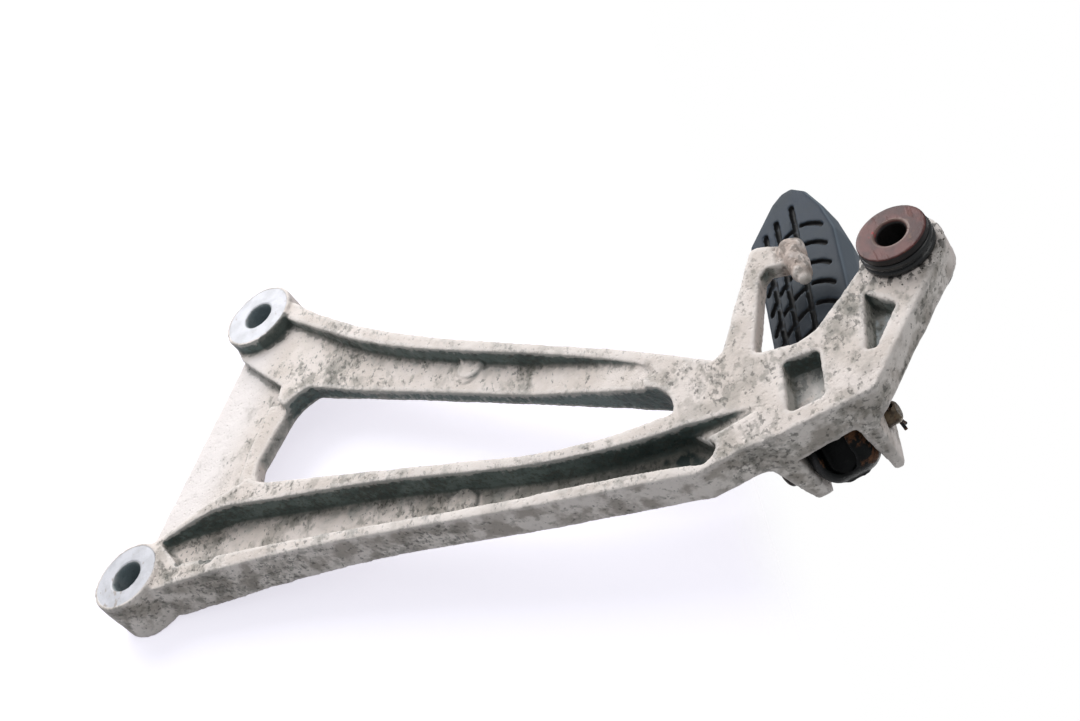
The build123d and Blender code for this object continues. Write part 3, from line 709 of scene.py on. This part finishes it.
def bright_steel_finish():
    """Bare steel of the ball and its spring, with a film of old grease."""
    finish = Finish("ball_steel")
    tree, place = finish.tree, finish.place
    film = fade(tree, mottle(tree, place, 1.6, 4.0), 0.45, 0.65)
    finish.feed("Base Color", tint(tree, film, colour(176, 177, 180), colour(104, 92, 74)))
    finish.feed("Roughness", calc(tree, "MULTIPLY_ADD", film, 0.3, 0.22))
    finish.feed("Metallic", calc(tree, "MULTIPLY_ADD", film, -0.4, 0.95))
    finish.raise_by(mottle(tree, place, 0.4), 0.01)
    return finish.material


# Places with more flecks than the rest of the casting: the middle, radius and strength of each
dirt_patches = (
    ((246.0, -48.0), 24.0, 0.2),
    ((214.0, -62.0), 20.0, 0.1),
    ((82.0, 60.0), 22.0, 0.08),
    ((100.0, -22.0), 34.0, 0.12),
    ((25.0, -2.0), 22.0, 0.12),
)

# Floors of the two pockets: the middle, radius and strength of the oxide on each
pocket_floors = (
    ((258.5, -57.0), 10.0, 0.9),
    ((235.0, -63.0), 11.0, 0.25),
)

# The brown stub of the hook, the stained edge of the lower boss and the red trace on the collar
stub_middle = (246.0, -14.0)
stained_edge = (-6.0, -8.0)
red_trace = (268.2, -32.6)

# Dark patches: the middle, radius and strength of each spot
black_spots = (
    ((62.0, 2.6, 91.5), 4.6, 1.0),
    ((58.6, 2.6, 87.6), 4.8, 1.0),
    ((54.6, 2.6, 85.4), 4.0, 0.9),
    ((34.2, 1.6, -10.8), 3.2, 1.0),
    ((31.6, 1.6, -10.2), 2.6, 1.0),
    ((21.4, 1.6, -5.6), 2.4, 1.0),
)

# Discs left by the mould: the middle, radius and height of each, and where a painted shadow lies against
# their edges
mould_marks = (
    ((133.2, 7.0, 19.8), 5.4, 0.7),
    ((123.2, 9.6, -35.0), 5.4, 0.6),
)
mark_shadows = (
    ((133.2, 19.8), 5.6, (0.5, 0.0, 0.86)),
    ((123.2, -35.0), 5.6, (0.5, 0.0, -0.86)),
)

# Lumps and dents of the hook's stub: the middle, radius and depth of each, with a minus depth for a lump
stub_lumps = (
    ((240.2, -1.5, -5.0), 3.2, 1.3),
    ((246.6, -2.0, -9.5), 3.0, 1.2),
    ((243.0, -2.2, -17.5), 3.4, -0.9),
    ((248.0, 1.0, -15.5), 3.0, 1.1),
    ((240.0, -1.0, -13.5), 2.6, -0.8),
    ((243.6, -3.4, -13.2), 2.4, 1.1),
    ((244.5, -2.5, -21.5), 2.2, 0.9),
)

# Size of the quads in the casting's skin, and how many triangles are kept of it
casting_quad = 0.62
casting_triangles = 190000

# Unevenness of the sand-cast skin: the length and height of each wave
cast_waves = ((9.0, 0.2), (3.4, 0.12), (1.6, 0.07))

# Small pits in the casting: the middle, radius and depth of each
cast_pits = (
    ((34.2, 1.0, -10.8), 2.2, 1.3),
    ((31.6, 1.0, -10.2), 1.8, 1.0),
    ((21.4, 1.0, -5.6), 1.7, 1.0),
    ((61.0, 7.5, 78.0), 1.8, 0.5),
    ((118.0, 7.5, 47.0), 1.5, 0.4),
)


def finish_piece(piece, material, body, node):
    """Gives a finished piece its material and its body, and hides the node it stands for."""
    smooth(piece)
    piece.data.materials.clear()
    piece.data.materials.append(material)
    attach(piece, body)
    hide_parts(node)


def make_casting():
    """The cast plate, with soft edges and an uneven sand-cast skin."""
    piece = merged_copy("hanger_casting", "cast_hanger")
    even_skin(piece, casting_quad)
    skin = Skin(piece, "hanger_casting")
    flat = skin.points[:, (0, 2)]
    held = np.zeros(len(flat))
    for middle, radius in ((lower_boss, lower_boss_r), (upper_boss, upper_boss_r)):
        held[np.linalg.norm(flat - np.array(middle), axis=1) < radius - 1.5] = 1.0
    held *= skin.points[:, 1] < 1.5
    held = skin.spread(held, 2)
    skin.soften(3, held * 0.8)
    skin.press(cast_pits)
    skin.raise_discs(mould_marks)
    skin.press(stub_lumps)
    skin.roughen(cast_waves, held)
    skin.measure_edges(rounds=34, hollow_depth=0.75, ridge_height=0.6)
    skin.measure_shelter(reach=22, rays=5, rounds=8)
    thin_out(piece, casting_triangles)
    finish_piece(piece, cast_finish(), "hanger", "hanger_casting")
    make_crumbs(piece)


def make_crumb_tree():
    """Geometry Nodes: crumbs scattered over a surface where the stored dirt is thick."""
    tree = bpy.data.node_groups.new("dirt_crumbs", "GeometryNodeTree")
    face = tree.interface
    face.new_socket(name="Surface", in_out="INPUT", socket_type="NodeSocketGeometry")
    for name, kind, value in (
        ("Crumbs per Square Metre", "Float", 60000.0),
        ("Smallest", "Float", 0.14),
        ("Largest", "Float", 0.34),
        ("Seed", "Int", 5),
    ):
        face.new_socket(name=name, in_out="INPUT", socket_type="NodeSocket" + kind).default_value = value
    face.new_socket(name="Finish", in_out="INPUT", socket_type="NodeSocketMaterial")
    face.new_socket(name="Crumbs", in_out="OUTPUT", socket_type="NodeSocketGeometry")
    given = tree.nodes.new("NodeGroupInput").outputs
    result = tree.nodes.new("NodeGroupOutput").inputs
    dirt = put(tree, "GeometryNodeInputNamedAttribute", {"Name": "crumb_dirt"}, data_type="FLOAT")
    thick = calc(tree, "MULTIPLY", dirt.outputs["Attribute"], given["Crumbs per Square Metre"])
    points = put(
        tree,
        "GeometryNodeDistributePointsOnFaces",
        {"Mesh": given["Surface"], "Density": thick, "Seed": given["Seed"]},
    )
    stone = put(tree, "GeometryNodeMeshIcoSphere", {"Radius": MM, "Subdivisions": 1})
    size = put(tree, "FunctionNodeRandomValue", data_type="FLOAT_VECTOR")
    low, high = (n for n in size.inputs if n.name in ("Min", "Max") and n.type == "VECTOR")
    tree.links.new(given["Smallest"], low)
    tree.links.new(given["Largest"], high)
    tree.links.new(given["Seed"], size.inputs["Seed"])
    crumbs = put(
        tree,
        "GeometryNodeInstanceOnPoints",
        {
            "Points": points.outputs["Points"],
            "Instance": stone.outputs["Mesh"],
            "Rotation": points.outputs["Rotation"],
            "Scale": size.outputs["Value"],
        },
    )
    loose = put(tree, "GeometryNodeRealizeInstances", {"Geometry": crumbs.outputs["Instances"]})
    finished = put(
        tree,
        "GeometryNodeSetMaterial",
        {"Geometry": loose.outputs["Geometry"], "Material": given["Finish"]},
    )
    tree.links.new(finished.outputs["Geometry"], result["Crumbs"])
    return tree


def crumb_finish():
    """Dark dried dirt."""
    finish = Finish("dried_dirt")
    tree, place = finish.tree, finish.place
    shade = fade(tree, mottle(tree, place, 3.0), 0.35, 0.65)
    finish.feed("Base Color", tint(tree, shade, colour(58, 56, 50), colour(104, 98, 88)))
    finish.feed("Roughness", calc(tree, "MULTIPLY_ADD", mottle(tree, place, 1.0), 0.2, 0.75))
    finish.raise_by(mottle(tree, place, 0.4), 0.05)
    return finish.material


def make_crumbs(casting):
    """Crumbs of dirt on the casting: round the grommet's foot, in the channel's ends and in the corners."""
    surface = bpy.data.objects.new("crumbs_of_dirt", casting.data.copy())
    bpy.context.scene.collection.objects.link(surface)
    skin = Skin(surface, "hanger_casting")
    x, y, z = skin.points.T
    ring = np.hypot(x - exhaust_eye[0], z - exhaust_eye[1]) - eye_boss_r
    dirt = np.clip(1 - np.abs(ring) / 1.6, 0, 1) * (np.abs(y - 0.9) < 1.0) * 5.0
    hollow = Skin.read(skin.mesh.attributes["hollow"].data, "value", 1)[:, 0]
    dirt += np.clip(hollow - 0.55, 0, 1) * 2.5 * (x < 215) * (y > 1.0) * (y < 11.0)
    skin.keep("crumb_dirt", dirt * (y < 11.0))
    modifier = surface.modifiers.new("crumbs", "NODES")
    tree = make_crumb_tree()
    modifier.node_group = tree
    for socket in tree.interface.items_tree:
        if socket.name == "Finish":
            modifier[socket.identifier] = crumb_finish()
    ready = surface.evaluated_get(bpy.context.evaluated_depsgraph_get())
    mesh = bpy.data.meshes.new_from_object(ready)
    surface.modifiers.clear()
    surface.data = mesh
    smooth(surface)
    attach(surface, "hanger")


def make_moulded(node, name, quad, rounds, edges, material, body):
    """A piece that keeps its node's shape with softer edges."""
    piece = merged_copy(node, name)
    even_skin(piece, quad)
    skin = Skin(piece, node)
    skin.soften(rounds)
    skin.measure_edges(*edges)
    skin.measure_shelter(reach=8, rays=5, rounds=3)
    finish_piece(piece, material, body, node)


# Pieces that keep their node's shape: the node, the piece's name, the size of its quads, the rounds of
# softening, the measure of its hollows and ridges, its finish, its body and its slot
moulded_pieces = (
    ("peg_rubber", "tread_block", 0.42, 3, (8, 0.3, 0.35), tread_finish, "footpeg", "tread_rubber"),
    ("peg_bar", "peg_knuckle", 0.42, 4, (14, 0.5, 0.45), peg_iron_finish, "footpeg", "peg_iron"),
    ("exhaust_grommet", "eye_grommet", 0.3, 2, (8, 0.3, 0.3), grommet_finish, "hanger", "grommet_rubber"),
    ("exhaust_collar", "eye_collar", 0.3, 2, (8, 0.3, 0.3), collar_finish, "hanger", "collar_steel"),
    ("pivot_pin", "hinge_pin", 0.25, 2, (8, 0.3, 0.3), plated_finish, "hanger", "plated_steel"),
)

make_casting()
for node, name, quad, rounds, edges, finish, body, slot in moulded_pieces:
    make_moulded(node, name, quad, rounds, edges, finish(), body)

# The split pin, the ball and its spring keep the CAD's own meshes
bright_steel = bright_steel_finish()
for node, material in (
    ("split_pin", dark_steel_finish()),
    ("detent_ball", bright_steel),
    ("detent_spring", bright_steel),
):
    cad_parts[node].data.materials.clear()
    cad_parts[node].data.materials.append(material)


# Table, lamps and camera


def make_table():
    """A wide white sheet under the hanger's outboard side, which ends where the footpeg swings out.

    It is seen only from the side that the hanger lies on.
    """
    corners = [(-1.1, -1.3), (1.5, -1.3), (1.5, 1.5), (-1.1, 1.5)]
    mesh = bpy.data.meshes.new("table")
    mesh.from_pydata([(x, 0.0178 + 0.09 * x, z) for x, z in corners], [], [(0, 1, 2, 3)])
    table = bpy.data.objects.new("table", mesh)
    bpy.context.scene.collection.objects.link(table)
    finish = Finish("white_paper")
    tree = finish.tree
    shade = mottle(tree, finish.place, 60)
    finish.feed("Base Color", tint(tree, shade, (0.52, 0.52, 0.54, 1), (0.5, 0.5, 0.53, 1)))
    finish.feed("Roughness", 0.9)
    finish.feed("Specular IOR Level", 0.0)
    finish.feed("Emission Color", (0.93, 0.91, 1.0, 1))
    path = put(tree, "ShaderNodeLightPath")
    seen = calc(tree, "MAXIMUM", path.outputs["Is Camera Ray"], path.outputs["Is Glossy Ray"])
    seen = calc(tree, "MAXIMUM", seen, path.outputs["Is Transmission Ray"])
    finish.feed("Emission Strength", calc(tree, "MULTIPLY", seen, 0.74))

    # clear from behind, and past the end beside the footpeg
    output = next(n for n in tree.nodes if n.type == "OUTPUT_MATERIAL")
    clear = put(tree, "ShaderNodeBsdfTransparent")
    side = put(tree, "ShaderNodeNewGeometry")
    past_end = fade(tree, split(tree, finish.place)[0], 190.0, 216.0)
    unseen = calc(tree, "MAXIMUM", side.outputs["Backfacing"], past_end)
    choice = put(tree, "ShaderNodeMixShader", {0: unseen, 1: finish.shader.outputs[0], 2: clear.outputs[0]})
    tree.links.new(choice.outputs[0], output.inputs["Surface"])
    mesh.materials.append(finish.material)


def make_world():
    """Even white light from all round, and plain white where the camera sees past the table."""
    world = bpy.data.worlds.new("studio")
    bpy.context.scene.world = world
    world.use_nodes = True
    tree = world.node_tree
    tree.nodes.clear()
    path = put(tree, "ShaderNodeLightPath")
    light = put(tree, "ShaderNodeBackground", {"Color": (0.97, 0.98, 1.0, 1), "Strength": 0.38})
    white = put(tree, "ShaderNodeBackground", {"Color": (1, 1, 1, 1), "Strength": 1.0})
    seen = path.outputs["Is Camera Ray"]
    choice = put(tree, "ShaderNodeMixShader", {0: seen, 1: light.outputs[0], 2: white.outputs[0]})
    output = put(tree, "ShaderNodeOutputWorld")
    tree.links.new(choice.outputs[0], output.inputs["Surface"])


def make_lamp(name, towards, distance, size, level):
    """A square soft lamp that lights a facing white surface to this level."""
    lamp = bpy.data.lights.new(name, "AREA")
    lamp.shape = "SQUARE"
    lamp.size = size
    lamp.energy = level * pi * pi * distance**2
    holder = bpy.data.objects.new(name, lamp)
    bpy.context.scene.collection.objects.link(holder)
    aim = Vector((0.14, 0.0, 0.0))
    way = Vector(towards).normalized()
    holder.location = aim + way * distance
    holder.rotation_euler = way.to_track_quat("Z", "Y").to_euler()


def make_camera():
    """The photograph's view: from below and inboard, looking up and outboard."""
    lens = bpy.data.cameras.new("view")
    lens.sensor_fit = "HORIZONTAL"
    lens.sensor_width = 36
    lens.lens = 58.87
    lens.clip_start = 0.01
    camera = bpy.data.objects.new("view", lens)
    right = (0.84959, 0.51619, -0.10838)
    up = (0.45743, -0.61878, 0.63864)
    backward = (0.26260, -0.59216, -0.76183)
    stand = (0.30203, -0.31900, -0.41387)
    turn = Matrix((right, up, backward)).transposed().to_4x4()
    camera.matrix_world = Matrix.Translation(stand) @ turn
    bpy.context.scene.collection.objects.link(camera)
    bpy.context.scene.camera = camera


# Lamps: the name of each, the side it stands on, its distance and size in metres, and its level
lamps = (
    ("key", (-0.3, -0.75, 0.8), 1.3, 0.9, 0.76),
    ("top", (0.1, -0.3, 1.0), 1.2, 1.0, 0.32),
    ("side", (0.9, -0.8, -0.1), 1.3, 0.7, 0.12),
    ("back", (0.2, 0.9, 0.35), 1.3, 0.9, 0.25),
)

make_table()
make_world()
for lamp in lamps:
    make_lamp(*lamp)
make_camera()
bpy.context.scene.view_settings.view_transform = "Standard"
